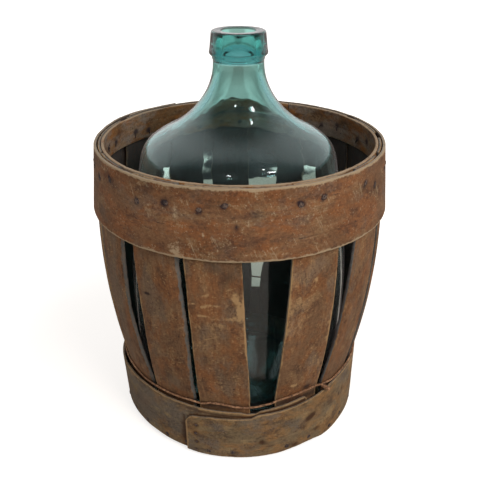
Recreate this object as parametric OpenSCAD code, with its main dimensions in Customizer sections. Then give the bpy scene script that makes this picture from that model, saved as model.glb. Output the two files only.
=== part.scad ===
// Glass demijohn standing in a basket of bent wooden slats.
// The origin is on the floor under the middle of the basket, +Z is up, and the camera side is -Y.
// Azimuths are measured from -Y and grow towards +X, so 90 is the right-hand side.

/* [Basket] */
// Height of the basket, from the floor to the top of the rim
basket_h = 368; // [330:1:420]
// Outer radius of the slats at the rim
slat_top_r = 170.8; // [164:0.2:176]
// Outer radius of the slats where the basket bulges most
belly_r = 178.4; // [176:0.2:190]
// Height of that bulge
belly_z = 262; // [220:1:280]
// Outer radius of the slats just above the foot hoop
waist_r = 156.8; // [150:0.2:168]
// Height of that waist
waist_z = 80; // [78:1:95]
// Outer radius of the slats at the floor
foot_r = 155.6; // [150:0.2:160]

/* [Slats] */
// Thickness of a slat
slat_t = 3; // [2:0.1:4]
// Width of a slat at the foot
slat_foot_w = 59; // [40:0.5:60]
// Width of a slat at the rim
slat_rim_w = 56; // [40:0.5:60]
// How far the slats stop short of the floor and of the rim's top edge
slat_shy = 0.8; // [0.2:0.1:3]

/* [Rim hoops] */
// Thickness of the outer rim hoop
rim_outer_t = 3.4; // [2:0.1:5]
// Width of the outer rim hoop
rim_outer_w = 80; // [60:1:95]
// Thickness of the inner rim hoop
rim_inner_t = 3.4; // [2:0.1:5]
// Width of the inner rim hoop
rim_inner_w = 38; // [34:1:55]
// Slack between each rim hoop and the slats, where they come closest
rim_slack = 0.5; // [0.3:0.1:0.9]

/* [Foot hoop] */
// Thickness of the foot hoop
foot_hoop_t = 3; // [2:0.1:4]
// Width of the foot hoop from its start, under its own lap, all the way round
foot_hoop_start_w = 75; // [66:1:77]
// Width of the foot hoop where it ends, on top of its own lap
foot_hoop_end_w = 60; // [52:1:65]
// How much further the top edge stands off the slats on the left-hand side than on the right
foot_hoop_flare = 4; // [1:0.1:6]

/* [Wire] */
// Diameter of the wire tied round the slats
wire_d = 1.9; // [1:0.1:3]
// Height of the wire above the top edge of the foot hoop
wire_rise = 7; // [4:0.5:12]
// Length of the twisted ends of the wire
wire_twist_len = 13; // [8:1:25]

/* [Base board] */
// Thickness of the base board
board_t = 16; // [12:0.5:22]
// Width of the middle plank of the base board
middle_plank_w = 108; // [80:1:150]
// Gap between two planks
plank_gap = 0.8; // [0.2:0.1:0.9]

/* [Nails] */
// Diameter of a nail's shank
nail_d = 2.2; // [1.4:0.1:3]
// Diameter of a nail's head
nail_head_d = 6; // [4:0.1:8]
// Thickness of a nail's head
nail_head_t = 0.9; // [0.5:0.1:1.6]
// Height of the row of rim nails below the top of the rim
rim_nail_drop = 22; // [14:0.5:30]
// Distance between the two nails of a slat
nail_pair_w = 30; // [18:0.5:36]
// Length of a rim nail's point, bent over inside the basket
clench_len = 8; // [5:0.5:12]
// How deep a foot nail goes into the base board
foot_nail_len = 22; // [12:0.5:40]

/* [Glass bottle] */
// Height of the bottle
bottle_h = 477; // [440:1:520]
// Largest outer radius of the bottle's body
body_r = 140.5; // [132:0.5:142]
// Height of that largest radius above the bottle's underside
body_z = 154; // [130:1:170]
// Outer radius where the body turns into the shoulder
shoulder_r = 124; // [116:0.5:130]
// Depth of that turn below the top of the bottle
shoulder_drop = 167; // [157:1:177]
// Outer radius at the steepest point of the shoulder
slope_r = 87.7; // [80:0.5:95]
// Depth of that point below the top of the bottle
slope_drop = 116; // [107:1:125]
// Outer radius of the neck at its narrowest
neck_r = 30.2; // [28:0.2:34]
// Depth of the narrowest point of the neck below the top of the bottle
neck_drop = 36; // [33:1:45]
// Outer radius of the flat ring that the bottle stands on
base_ring_r = 100; // [90:1:115]
// Width of that ring
base_ring_w = 9; // [5:0.5:15]
// Height of the hollow pushed up under the bottle
push_up_h = 14; // [8:1:24]
// Thickness of the glass in the body
glass_t = 3.6; // [2.6:0.1:5]
// Thickness of the glass in the neck
neck_t = 5.6; // [4:0.1:7]
// Thickness of the glass in the bottom
bottom_t = 6; // [4:0.5:9]
// Radius of the mouth's bore
mouth_r = 19.8; // [18:0.1:22]
// Length of the mouth's straight bore
mouth_len = 28; // [20:0.5:34]
// Height of the collar round the mouth
collar_h = 26; // [20:0.5:28]
// Outer radius of the collar at its top
collar_top_r = 32; // [30:0.2:34]
// Outer radius of the collar at its foot
collar_foot_r = 34.5; // [33:0.2:37]
// Rounding of the collar's top edge
collar_round = 2.6; // [1:0.1:4]

/* [Hidden] */
// Middle azimuth of each slat, starting right of the wide front gap and going round to the right
slat_azimuths = [27, 52, 77.5, 106.5, 131.5, 155, 185, 208.5, 233.5, 259, 282, 305.5, 329.5, 352];
slat_names = [for (i = [0 : len(slat_azimuths) - 1]) str("slat_", i < 9 ? "0" : "", i + 1)];

$fn = 128;
// Slack that keeps curved wooden faces just off each other
ply_slack = 0.3;
// Overrun of cutting shapes past what they cut
overrun = 5;
// Straight steps along one curve of the glass, and along a slat above its waist
curve_steps = 12;
slat_steps = 10;

wood = [0.47, 0.33, 0.23];
dark_wood = [0.40, 0.29, 0.21];
grey_wood = [0.50, 0.42, 0.32];
rust = [0.45, 0.28, 0.18];
iron = [0.22, 0.17, 0.15];
aqua_glass = [0.45, 0.75, 0.72, 0.45];

// Curves

// How far a bent board has come in at height h from its bulge, if it comes in by drop after
// height whole
function bulge_drop(drop, whole, h) = drop * h * h / (whole * whole);

// Points of a cubic curve from p0 towards p3, which belongs to the next curve
function curve(p0, p1, p2, p3) = [
    for (i = [0 : curve_steps - 1])
        let (t = i / curve_steps, s = 1 - t)
            s * s * s * p0 + 3 * s * s * t * p1 + 3 * s * t * t * p2 + t * t * t * p3
];

// Azimuth turned into the range from -180 to 180
function wrapped(a) = a > 180 ? a - 360 : a;

// Where the slats run

upper_h = basket_h - belly_z;
lower_h = belly_z - waist_z;

// Outer radius of the slats at height z
function slat_r(z) =
    z > belly_z ? belly_r - bulge_drop(belly_r - slat_top_r, upper_h, z - belly_z)
    : z > waist_z ? belly_r - bulge_drop(belly_r - waist_r, lower_h, belly_z - z)
    : foot_r + (waist_r - foot_r) * z / waist_z;

// Radius at height z of a straight board that touches the slats' outside at its top and bottom edge
function board_face(z, z0) =
    slat_r(z0) + (slat_r(basket_h) - slat_r(z0)) * (z - z0) / (basket_h - z0);

// Outline of a rim hoop from height z0 up to the rim, with its inner face moved out from there
module rim_outline(z0, out, t) {
    polygon([
        [slat_r(z0) + out, z0], [slat_r(z0) + out + t, z0],
        [slat_top_r + out + t, basket_h], [slat_top_r + out, basket_h]]);
}

// Turns a shape built on the -Y side to an azimuth
module at_azimuth(a) rotate([0, 0, a]) children();

// An outline swept from one azimuth down to another
module swept(from, to) rotate([0, 0, to - 90]) rotate_extrude(angle = from - to) children();

// A hoop is one board wound a little over a full turn, towards falling azimuths, and near the end
// of the turn it rides up over its own start by a step. Turned is how far it has been wound.
hoop_pitch = 3;

function hoop_rise(turned, ride, step) =
    turned <= 360 - ride ? 0 : turned >= 360 ? step : step * (1 + cos(180 * (360 - turned) / ride)) / 2;

// How far the outermost layer of a hoop stands out at an azimuth
function outer_rise(a, start, ride, lap, step) =
    let (turned = (start - a + 720) % 360)
        hoop_rise(turned < lap ? turned + 360 : turned, ride, step);

function at_radius(a, r, z) = [r * sin(a), -r * cos(a), z];

// A board of thickness t bent through stations of azimuth, inner radius and height at its lower
// edge, and inner radius and height at its upper edge
module bent_board(stations, t) {
    points = [for (s = stations) each [
        at_radius(s[0], s[1], s[2]), at_radius(s[0], s[1] + t, s[2]),
        at_radius(s[0], s[3] + t, s[4]), at_radius(s[0], s[3], s[4])]];
    last = len(points) - 4;
    sides = [for (i = [0 : 4 : last - 4], j = [0 : 3])
        let (k = (j + 1) % 4) each [
            [i + j, i + 4 + j, i + 4 + k],
            [i + j, i + 4 + k, i + k]]];
    polyhedron(points, concat(
        [[0, 1, 2], [0, 2, 3]], sides, [[last + 2, last + 1, last], [last + 3, last + 2, last]]));
}

// Bottle

shoulder_z = bottle_h - shoulder_drop;
slope_z = bottle_h - slope_drop;
neck_z = bottle_h - neck_drop;
collar_foot_z = bottle_h - collar_h;
collar_tuck = 3;
bead_out = 0.9;
bead_h = 3;
neck_top_z = collar_foot_z - collar_tuck;
// Slope of the shoulder at its steepest, and of the body where the shoulder starts
shoulder_lean = 62.6;
body_lean = 8.5;
// How far each curve of the outline pulls along its end tangents
neck_pull = 35;
slope_pull = 33;
shoulder_pull = 30.5;
side_pull = 50;
body_pull = 60;
heel_drop = 80;
heel_pull = 32;

function leaning(a) = [sin(a), -cos(a)];

// Outline of the glass from the underside up to the neck, with every curve's end tangents
body_outline = concat(
    curve([base_ring_r, 0], [base_ring_r + heel_pull, 0], [body_r, body_z - heel_drop], [body_r, body_z]),
    curve([body_r, body_z], [body_r, body_z + body_pull],
        [shoulder_r, shoulder_z] + side_pull * leaning(body_lean), [shoulder_r, shoulder_z]),
    curve([shoulder_r, shoulder_z], [shoulder_r, shoulder_z] - shoulder_pull * leaning(body_lean),
        [slope_r, slope_z] + slope_pull * leaning(shoulder_lean), [slope_r, slope_z]),
    curve([slope_r, slope_z], [slope_r, slope_z] - slope_pull * leaning(shoulder_lean),
        [neck_r, neck_z - neck_pull], [neck_r, neck_z]),
    [[neck_r, neck_z]]);
outline_n = len(body_outline);

// Thickness of the glass at a height, from the body's to the neck's
function glass_at(z) =
    z < slope_z ? glass_t : glass_t + (neck_t - glass_t) * (z - slope_z) / (neck_z - slope_z);

// A point of the body outline moved in by the glass, square to the outline
function inside_point(i) =
    let (before = body_outline[i - 1],
         after = body_outline[min(i + 1, outline_n - 1)],
         run = (after - before) / norm(after - before),
         wall = glass_at(body_outline[i][1]))
        body_outline[i] + wall * [-run[1], run[0]];

// The hollow inside starts where the outline has risen clear of the glass bottom
floor_share = 0.35;
inside_floor_z = push_up_h * floor_share + bottom_t;
hollow_start = [for (i = [1 : outline_n - 1]) if (inside_point(i)[1] > inside_floor_z) i][0];

glass_outline = concat(
    [[0, push_up_h]],
    [for (i = [1 : curve_steps - 1])
        let (t = i / curve_steps) [(base_ring_r - base_ring_w) * t, push_up_h * (1 - t * t)]],
    [[base_ring_r - base_ring_w, 0]],
    body_outline,
    [[neck_r, neck_top_z - bead_h],
     [neck_r + bead_out, neck_top_z - bead_h / 2],
     [neck_r + bead_out, neck_top_z],
     [collar_foot_r, collar_foot_z],
     [collar_foot_r, collar_foot_z + collar_tuck]],
    [for (a = [0 : 15 : 90])
        [collar_top_r - collar_round * (1 - cos(a)), bottle_h - collar_round * (1 - sin(a))]],
    [[mouth_r, bottle_h],
     [mouth_r, bottle_h - mouth_len],
     [neck_r - neck_t, bottle_h - mouth_len - (neck_r - neck_t - mouth_r)]],
    [for (i = [outline_n - 1 : -1 : hollow_start]) inside_point(i)],
    [[inside_point(hollow_start)[0] - glass_t, inside_floor_z]],
    [for (i = [curve_steps - 1 : -1 : 0])
        let (t = i / curve_steps) [
            (base_ring_r - base_ring_w) * t,
            bottom_t + push_up_h * (1 - t * t * (1 - floor_share))]]);

module glass_bottle() {
    color(aqua_glass) translate([0, 0, board_t]) rotate_extrude() polygon(glass_outline);
}

// Slats

// How much wider than a slat the wall is that it's cut from, in degrees
spare_angle = 4;

module slat_outline() {
    bulging = basket_h - slat_shy - waist_z;
    heights = concat([slat_shy], [for (i = [0 : slat_steps]) waist_z + bulging * i / slat_steps]);
    polygon(concat(
        [for (z = heights) [slat_r(z), z]],
        [for (i = [len(heights) - 1 : -1 : 0]) [slat_r(heights[i]) - slat_t, heights[i]]]));
}

module slat(i) {
    sweep = 2 * asin(max(slat_foot_w, slat_rim_w) / (2 * waist_r)) + spare_angle;
    color(i % 2 == 0 ? wood : dark_wood)
        at_azimuth(slat_azimuths[i]) intersection() {
            swept(sweep / 2, -sweep / 2) slat_outline();
            rotate([90, 0, 0]) linear_extrude(belly_r + overrun) polygon([
                [-slat_foot_w / 2, 0], [slat_foot_w / 2, 0],
                [slat_rim_w / 2, basket_h], [-slat_rim_w / 2, basket_h]]);
        }
}

// Rim hoops

rim_outer_z = basket_h - rim_outer_w;
rim_lap_start = -122;
rim_lap = 27;
rim_ride = 27;
rim_step = rim_outer_t + ply_slack;
// The hoops' boards are straight across their width, so the outer one stands off the slats where
// they bulge out between its edges, and the inner one where they would bulge in
rim_out = rim_slack + max(0, bulge_drop(belly_r - slat_top_r, upper_h, rim_outer_w / 2));
rim_in = rim_slack + max(0, bulge_drop(slat_top_r - belly_r, upper_h, rim_inner_w / 2));

module rim_outer_hoop() {
    turn = 360 + rim_lap;
    color(wood) bent_board([
        for (i = [0 : turn / hoop_pitch])
            let (turned = i * hoop_pitch, out = rim_out + hoop_rise(turned, rim_ride, rim_step))
                [rim_lap_start - turned, slat_r(rim_outer_z) + out, rim_outer_z,
                 slat_top_r + out, basket_h]], rim_outer_t);
}

// The inner hoop's ends all but meet in a butt joint behind a slat
butt_gap = 0.8;
butt_azimuth = slat_azimuths[5];
butt_angle = asin(butt_gap / (slat_top_r - slat_t));

module rim_inner_hoop() {
    color(dark_wood) swept(butt_azimuth, butt_azimuth + butt_angle - 360)
        rim_outline(basket_h - rim_inner_w, -slat_t - rim_in - rim_inner_t, rim_inner_t);
}

// Foot hoop

foot_lap_start = 31;
foot_lap = 55;
foot_ride = 30;
foot_step = foot_hoop_t + ply_slack;
foot_hoop_r = foot_r + ply_slack;
foot_taper = foot_lap + foot_ride / 2;
// Width of the hoop: whole all the way round, and it only comes down in the lap
function foot_hoop_w(turned) =
    foot_hoop_start_w - (foot_hoop_start_w - foot_hoop_end_w)
        * max(0, turned - (360 + foot_lap - foot_taper)) / foot_taper;

// Inner radius of the hoop's first turn at an azimuth and a height: it hugs the slats on the
// right-hand side and stands off them at its top edge on the left
function foot_face(a, z) =
    foot_hoop_r + (slat_r(foot_hoop_start_w) - foot_r + foot_hoop_flare * (1 - sin(a)) / 2)
        * z / foot_hoop_start_w;

module foot_hoop() {
    turn = 360 + foot_lap;
    color(grey_wood) bent_board([
        for (i = [0 : turn / hoop_pitch])
            let (turned = i * hoop_pitch,
                 a = foot_lap_start - turned,
                 rise = hoop_rise(turned, foot_ride, foot_step),
                 w = foot_hoop_w(turned))
                [a, foot_face(a, 0) + rise, 0, foot_face(a, w) + rise, w]], foot_hoop_t);
}

// Wire

wire_z = foot_hoop_start_w + wire_rise;
wire_r = slat_r(wire_z) + ply_slack + wire_d / 2;
wire_twist_azimuth = 39.5;
wire_twist_lean = 60;

module foot_wire() {
    color(rust) {
        translate([0, 0, wire_z]) rotate_extrude()
            translate([wire_r, 0]) circle(d = wire_d, $fn = 16);
        at_azimuth(wire_twist_azimuth) translate([0, -wire_r, wire_z])
            rotate([0, 90 + wire_twist_lean / 2, 0]) translate([0, -wire_d * 0.8, 0])
                cylinder(d = wire_d, h = wire_twist_len, $fn = 16);
        at_azimuth(wire_twist_azimuth) translate([0, -wire_r, wire_z])
            rotate([0, 90 - wire_twist_lean / 4, 0]) translate([0, -wire_d * 0.6, 0])
                cylinder(d = wire_d, h = wire_twist_len, $fn = 16);
    }
}

// Base board

board_r = foot_r - slat_t - ply_slack;

module base_plank(x0, x1) {
    color(grey_wood) intersection() {
        cylinder(r = board_r, h = board_t);
        translate([x0, -board_r - overrun, 0]) cube([x1 - x0, 2 * (board_r + overrun), board_t]);
    }
}

plank_edge = middle_plank_w / 2;

module base_plank_left() base_plank(-board_r - overrun, -plank_edge - plank_gap);
module base_plank_middle() base_plank(-plank_edge, plank_edge);
module base_plank_right() base_plank(plank_edge + plank_gap, board_r + overrun);

// Nails

// A nail driven in towards the axis, with its head seated on radius r and its point at radius tip
module nail(a, z, r, tip) {
    at_azimuth(a) translate([0, 0, z]) rotate([90, 0, 0]) {
        translate([0, 0, tip]) cylinder(d = nail_d, h = r - tip + nail_head_t / 2, $fn = 24);
        translate([0, 0, r]) cylinder(d = nail_head_d, h = nail_head_t, $fn = 24);
    }
}

// Azimuths of the two nails of each slat at radius r
function nail_azimuths(r) = [
    for (a = slat_azimuths, side = [-1, 1]) wrapped(a + side * asin(nail_pair_w / (2 * r)))];

rim_nail_z = basket_h - rim_nail_drop;
rim_nail_r = board_face(rim_nail_z, rim_outer_z) + rim_out + rim_outer_t;
clench_r = board_face(rim_nail_z, basket_h - rim_inner_w) - slat_t - rim_in - rim_inner_t;

function rim_rise(a) = outer_rise(a, rim_lap_start, rim_ride, rim_lap, rim_step);

// How far the shank runs past the inner hoop, and how thick the bent point is at both ends
shank_past_share = 0.8;
point_root_share = 0.85;
point_tip_share = 0.4;

module rim_nails() {
    color(iron) for (a = nail_azimuths(rim_nail_r)) {
        nail(a, rim_nail_z, rim_nail_r + rim_rise(a), clench_r - nail_d * shank_past_share);
        at_azimuth(a) translate([0, -clench_r + nail_d / 2, rim_nail_z - clench_len])
            cylinder(d1 = nail_d * point_tip_share, d2 = nail_d * point_root_share,
                h = clench_len, $fn = 24);
    }
}

foot_nail_z = board_t / 2;

function foot_rise(a) = outer_rise(a, foot_lap_start, foot_ride, foot_lap, foot_step);

module foot_nails() {
    color(iron) for (a = nail_azimuths(foot_hoop_r + foot_hoop_t))
        nail(a, foot_nail_z, foot_face(a, foot_nail_z) + foot_hoop_t + foot_rise(a),
            board_r - foot_nail_len);
}

// A column of nails holds the end of the foot hoop down on the turn below it
lap_nail_n = 4;
lap_nail_azimuth = -19.5;
lap_nail_shares = [0.1, 0.32, 0.55, 0.78];

module lap_nails() {
    color(iron) for (i = [0 : lap_nail_n - 1]) {
        z = foot_hoop_end_w * lap_nail_shares[i];
        face = foot_face(lap_nail_azimuth, z);
        nail(lap_nail_azimuth, z, face + foot_hoop_t + foot_step, face);
    }
}

glass_bottle();
rim_outer_hoop();
rim_inner_hoop();
for (i = [0 : len(slat_names) - 1])
    slat(i);
foot_hoop();
foot_wire();
base_plank_left();
base_plank_middle();
base_plank_right();
rim_nails();
foot_nails();
lap_nails();
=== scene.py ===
import math
import random

import bmesh
import bpy
from mathutils import Matrix, Vector, noise


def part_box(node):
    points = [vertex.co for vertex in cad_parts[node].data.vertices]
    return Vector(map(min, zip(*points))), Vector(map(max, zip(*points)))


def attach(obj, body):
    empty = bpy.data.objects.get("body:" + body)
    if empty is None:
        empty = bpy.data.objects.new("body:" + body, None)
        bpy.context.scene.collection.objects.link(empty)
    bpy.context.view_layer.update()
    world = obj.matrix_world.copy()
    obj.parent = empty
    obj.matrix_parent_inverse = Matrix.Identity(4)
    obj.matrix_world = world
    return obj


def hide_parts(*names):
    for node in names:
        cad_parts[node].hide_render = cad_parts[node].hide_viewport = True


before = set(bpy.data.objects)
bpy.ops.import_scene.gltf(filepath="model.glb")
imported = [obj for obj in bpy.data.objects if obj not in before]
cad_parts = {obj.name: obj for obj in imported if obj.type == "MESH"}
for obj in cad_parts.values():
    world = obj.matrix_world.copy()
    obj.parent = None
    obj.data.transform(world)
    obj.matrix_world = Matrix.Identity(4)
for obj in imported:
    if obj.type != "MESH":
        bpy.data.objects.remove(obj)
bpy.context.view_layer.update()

# Base board
# Three sawn softwood planks, cut to a disc that closes the foot of the basket and carries the
# bottle. They lie side by side with hair gaps, and the foot nails hold them by their round edge.

board_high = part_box("base_plank_middle")[1]
board_radius = board_high.y
board_thickness = board_high.z
plank_rounding = 0.0009
plank_border = 0.006
plank_stain = 0.15
# How far apart two planks lie in the pattern of the wood, so that none repeats another
plank_offset = 1.3


def add_node(tree, kind, inputs=None, **settings):
    """Adds a node, and gives each named input a value or a link."""
    made = tree.nodes.new(kind)
    for name, value in settings.items():
        setattr(made, name, value)
    for name, value in (inputs or {}).items():
        if isinstance(value, bpy.types.NodeSocket):
            tree.links.new(value, made.inputs[name])
        else:
            made.inputs[name].default_value = value
    return made


def worked(tree, operation, *values, clamp=False):
    """The result of a Math node."""
    return add_node(tree, "ShaderNodeMath", dict(enumerate(values)), operation=operation,
                    use_clamp=clamp).outputs[0]


def vector_worked(tree, operation, *values):
    """The result of a Vector Math node."""
    return add_node(tree, "ShaderNodeVectorMath", dict(enumerate(values)),
                    operation=operation).outputs[0]


def sum_of(tree, *terms):
    """Adds up values, each with its own weight."""
    total = 0.0
    for value, weight in terms:
        total = worked(tree, "MULTIPLY_ADD", value, weight, total)
    return total


def plus(tree, value, number):
    return worked(tree, "ADD", value, number)


def times(tree, value, number):
    return worked(tree, "MULTIPLY", value, number)


def between(tree, value, low, high, to_low=0.0, to_high=1.0):
    """A smooth step of a value from low to high."""
    return add_node(tree, "ShaderNodeMapRange",
                    {"Value": value, "From Min": low, "From Max": high,
                     "To Min": to_low, "To Max": to_high},
                    interpolation_type="SMOOTHSTEP").outputs["Result"]


def blended(tree, share, first, second):
    """Mixes two colours."""
    return add_node(tree, "ShaderNodeMix", {0: share, 6: first, 7: second}, data_type="RGBA",
                    clamp_factor=True).outputs[2]


def grained(tree, place, stretch, detail, roughness, distortion=0.0):
    """Noise along the board, stretched by how many spots fit in a metre each way."""
    return add_node(tree, "ShaderNodeTexNoise", {
        "Vector": vector_worked(tree, "MULTIPLY", place, stretch), "Scale": 1.0, "Detail": detail,
        "Roughness": roughness, "Distortion": distortion}).outputs["Fac"]


# What the wood material reads at each point of a board, besides its place on the flat board
wood_marks = ("edge", "stain", "rub", "shade", "dust")


def weathered_wood_group():
    """Old split or sawn wood: grain, dust, cracks, worm holes, stains, painted shade and rubbed
    edges.
    """
    tree = bpy.data.node_groups.new("weathered_wood", "ShaderNodeTree")
    for in_out, kind, names in (
            ("INPUT", "Vector", "Board"), ("INPUT", "Float", "Edge Stain Rub Shade Dust"),
            ("INPUT", "Float", "Thickness Streaks Patches Scratches Wear Inside"),
            ("INPUT", "Color", "Pale Middle Dark Dusty Warm Stained Rubbed Side"),
            ("OUTPUT", "Color", "Color"), ("OUTPUT", "Float", "Roughness Height")):
        for name in names.split():
            tree.interface.new_socket(name=name, in_out=in_out, socket_type="NodeSocket" + kind)
    given = add_node(tree, "NodeGroupInput").outputs
    place = given["Board"]

    # A slow warp lets the grain wander
    warp = add_node(tree, "ShaderNodeTexNoise", {"Vector": place, "Scale": 14.0, "Detail": 2.0})
    sway = vector_worked(tree, "SUBTRACT", warp.outputs["Color"], (0.5, 0.5, 0.5))
    sway = vector_worked(tree, "MULTIPLY", sway, (0.004, 0.010, 0.0))
    wandering = vector_worked(tree, "ADD", place, sway)

    def cover(under, share, strength, name):
        return blended(tree, times(tree, share, strength), under, given[name])

    # Patches of warmer, darker, paler and dustier wood lie over each other with frayed borders
    tone = grained(tree, wandering, (9.0, 20.0, 20.0), 3.0, 0.55)
    patch = grained(tree, place, (44.0, 66.0, 60.0), 8.0, 0.7, 0.3)
    warmth = grained(tree, place, (26.0, 40.0, 33.0), 7.0, 0.68, 0.4)
    bare = grained(tree, place, (34.0, 52.0, 71.0), 9.0, 0.74, 0.2)
    grime = grained(tree, place, (19.0, 31.0, 47.0), 7.0, 0.7, 0.3)
    color = blended(tree, between(tree, warmth, 0.42, 0.6), given["Middle"], given["Warm"])
    dark_share = times(tree, between(tree, patch, 0.5, 0.64), given["Patches"])
    color = cover(color, dark_share, 0.7, "Dark")
    dust = sum_of(tree, (grime, 1.0), (given["Dust"], 0.22))
    color = blended(tree, between(tree, dust, 0.5, 0.66, 0.0, 0.7), color, given["Dusty"])
    pale_share = times(tree, between(tree, bare, 0.52, 0.63), given["Patches"])
    color = cover(color, pale_share, 0.6, "Pale")

    # Streaks and fibres of the grain, and grit, make it lighter and darker
    streak = grained(tree, wandering, (15.0, 300.0, 120.0), 5.0, 0.62)
    fibre = grained(tree, wandering, (90.0, 1300.0, 500.0), 3.0, 0.6)
    grit = grained(tree, place, (260.0, 300.0, 330.0), 5.0, 0.78)
    fleck = grained(tree, place, (420.0, 380.0, 400.0), 3.0, 0.7)
    lightness = sum_of(tree, (tone, 1.1), (streak, times(tree, given["Streaks"], 1.3)),
                       (fibre, times(tree, given["Streaks"], 0.9)), (grit, 2.0),
                       (given["Streaks"], -1.1), (given["Shade"], 1.0))
    lightness = worked(tree, "MAXIMUM", plus(tree, lightness, -0.55), 0.3)

    def lit(under):
        return add_node(tree, "ShaderNodeVectorMath", {0: under, "Scale": lightness},
                        operation="SCALE").outputs[0]

    color = lit(color)

    # Flecks of bare wood and of dirt, thick in some places and thin in others
    fleck_here = sum_of(tree, (fleck, 1.0), (bare, 0.45), (warmth, 0.25))
    color = blended(tree, between(tree, fleck_here, 0.96, 1.06, 0.0, 0.7), color,
                    given["Rubbed"])
    fleck_here = sum_of(tree, (fleck, -1.0), (patch, 0.45), (grime, 0.25))
    color = blended(tree, between(tree, fleck_here, -0.06, 0.05, 0.0, 0.7), color,
                    given["Dark"])

    # Hair cracks along the grain
    crack_noise = grained(tree, wandering, (7.0, 170.0, 60.0), 4.0, 0.55)
    from_middle = worked(tree, "ABSOLUTE", plus(tree, crack_noise, -0.5))
    crack = times(tree, between(tree, from_middle, 0.002, 0.010, 1.0, 0.0),
                  between(tree, tone, 0.5, 0.64))
    color = cover(color, crack, 0.6, "Stained")

    # Worm holes and pits
    cell = add_node(tree, "ShaderNodeTexVoronoi", {"Vector": place, "Scale": 95.0})
    chosen = add_node(tree, "ShaderNodeSeparateColor", {"Color": cell.outputs["Color"]})
    pit = times(tree, between(tree, cell.outputs["Distance"], 0.06, 0.11, 1.0, 0.0),
                between(tree, chosen.outputs[0], 0.88, 0.92))
    color = cover(color, pit, 0.85, "Stained")

    # Pale scratches across the grain, in places
    turned = add_node(tree, "ShaderNodeVectorRotate", {"Vector": place, "Angle": 0.42},
                      rotation_type="Z_AXIS").outputs[0]
    scratch = between(tree, grained(tree, turned, (560.0, 28.0, 60.0), 2.0, 0.5), 0.64, 0.72)
    scratch = times(tree, scratch, between(tree, bare, 0.48, 0.56))
    scratch = worked(tree, "MULTIPLY", scratch, given["Scratches"], clamp=True)
    color = cover(color, scratch, 0.55, "Rubbed")

    # Dirt and rust stains, and the painted shade that the stain mark also carries, broken up by the
    # patches of the wood
    ragged = plus(tree, sum_of(tree, (bare, 2.0), (grit, 1.2)), -1.6)
    stain = between(tree, plus(tree, given["Stain"], ragged), 0.1, 1.1)
    color = cover(color, stain, 0.9, "Stained")

    # Edges and places that hands have rubbed pale
    rub = worked(tree, "SUBTRACT", 1.0, worked(tree, "DIVIDE", given["Edge"], given["Wear"]),
                 clamp=True)
    rub = between(tree, sum_of(tree, (rub, 0.9), (given["Rub"], 1.0), (ragged, 1.3)), 0.35, 0.9)
    color = cover(color, rub, 0.8, "Rubbed")

    # Cut sides and the back of the board are greyer than its face
    depth = add_node(tree, "ShaderNodeSeparateXYZ", {"Vector": place}).outputs["Z"]
    behind = worked(tree, "SUBTRACT", given["Thickness"], depth)
    behind = plus(tree, sum_of(tree, (behind, 1.0), (grit, 0.0016)), -0.0008)
    behind = between(tree, behind, 0.0005, 0.0010)
    side_color = blended(tree, between(tree, grit, 0.35, 0.65, 0.0, 0.6), lit(given["Side"]),
                         color)
    # Stains and painted shade darken the cut sides too
    side_color = cover(side_color, stain, 0.8, "Stained")
    color = blended(tree, behind, color, side_color)

    # Painted shade darkens the inside face of a board, where little light reaches
    inside = between(tree, depth, 0.0, 0.0008, 1.0, 0.0)
    color = cover(color, inside, given["Inside"], "Stained")

    rough = plus(tree, sum_of(tree, (patch, 0.35), (stain, 0.1), (scratch, 0.1)), 0.48)
    height = sum_of(tree, (streak, times(tree, given["Streaks"], 0.6)), (fibre, 0.25),
                    (patch, 0.6), (grit, 0.35), (crack, -0.5), (pit, -0.6), (scratch, -0.12))
    add_node(tree, "NodeGroupOutput", {"Color": color, "Roughness": rough, "Height": height})
    return tree


weathered_wood = weathered_wood_group()


def srgb(red, green, blue):
    """A colour given as it shows, on a scale of 255."""
    values = [c / 255 for c in (red, green, blue)]
    return [c / 12.92 if c < 0.04045 else ((c + 0.055) / 1.055) ** 2.4 for c in values] + [1.0]


def new_material(name):
    material = bpy.data.materials.new(name)
    material.use_nodes = True
    return material, material.node_tree, material.node_tree.nodes["Principled BSDF"]


def give_surface(tree, color, rough, height, strength, relief):
    """Links a colour, a roughness and a relief to the material's shader."""
    bump = add_node(tree, "ShaderNodeBump",
                    {"Height": height, "Strength": strength, "Distance": relief})
    for socket, value in (("Base Color", color), ("Roughness", rough),
                          ("Normal", bump.outputs["Normal"])):
        tree.links.new(value, tree.nodes["Principled BSDF"].inputs[socket])


def wood_material(name, relief, **values):
    """Wood that follows the board attribute, which keeps each point's place on the flat board."""
    material, tree, shader = new_material(name)
    group = add_node(tree, "ShaderNodeGroup", node_tree=weathered_wood)
    for mark in ("board",) + wood_marks:
        read = add_node(tree, "ShaderNodeAttribute", attribute_name=mark)
        tree.links.new(read.outputs["Vector" if mark == "board" else "Fac"],
                       group.inputs[mark.capitalize()])
    for socket, value in values.items():
        is_color = isinstance(value, tuple)
        group.inputs[socket.capitalize()].default_value = srgb(*value) if is_color else value
    give_surface(tree, *group.outputs, 0.7, relief)
    shader.inputs["Specular IOR Level"].default_value = 0.2
    return material


def thicken(bm, thickness):
    """Makes a board of a flat shape."""
    raised = bmesh.ops.extrude_face_region(bm, geom=bm.faces[:])["geom"]
    bmesh.ops.translate(bm, vec=(0, 0, thickness),
                        verts=[part for part in raised if isinstance(part, bmesh.types.BMVert)])
    bmesh.ops.recalc_face_normals(bm, faces=bm.faces[:])


def sharp_edges(bm):
    return [edge for edge in bm.edges
            if len(edge.link_faces) == 2 and edge.calc_face_angle() > 1]


def round_edges(bm, edges, rounding):
    bmesh.ops.bevel(bm, geom=edges, offset=rounding, segments=2, profile=0.5, affect="EDGES",
                    material=-1)


def wood_layers(bm):
    """The layers of a board's points that the wood material reads."""
    layers = bm.verts.layers
    layers.float_vector.new("board")
    for mark in wood_marks:
        layers.float.new(mark)
    return [layers.float_vector["board"]] + [layers.float[mark] for mark in wood_marks]


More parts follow.
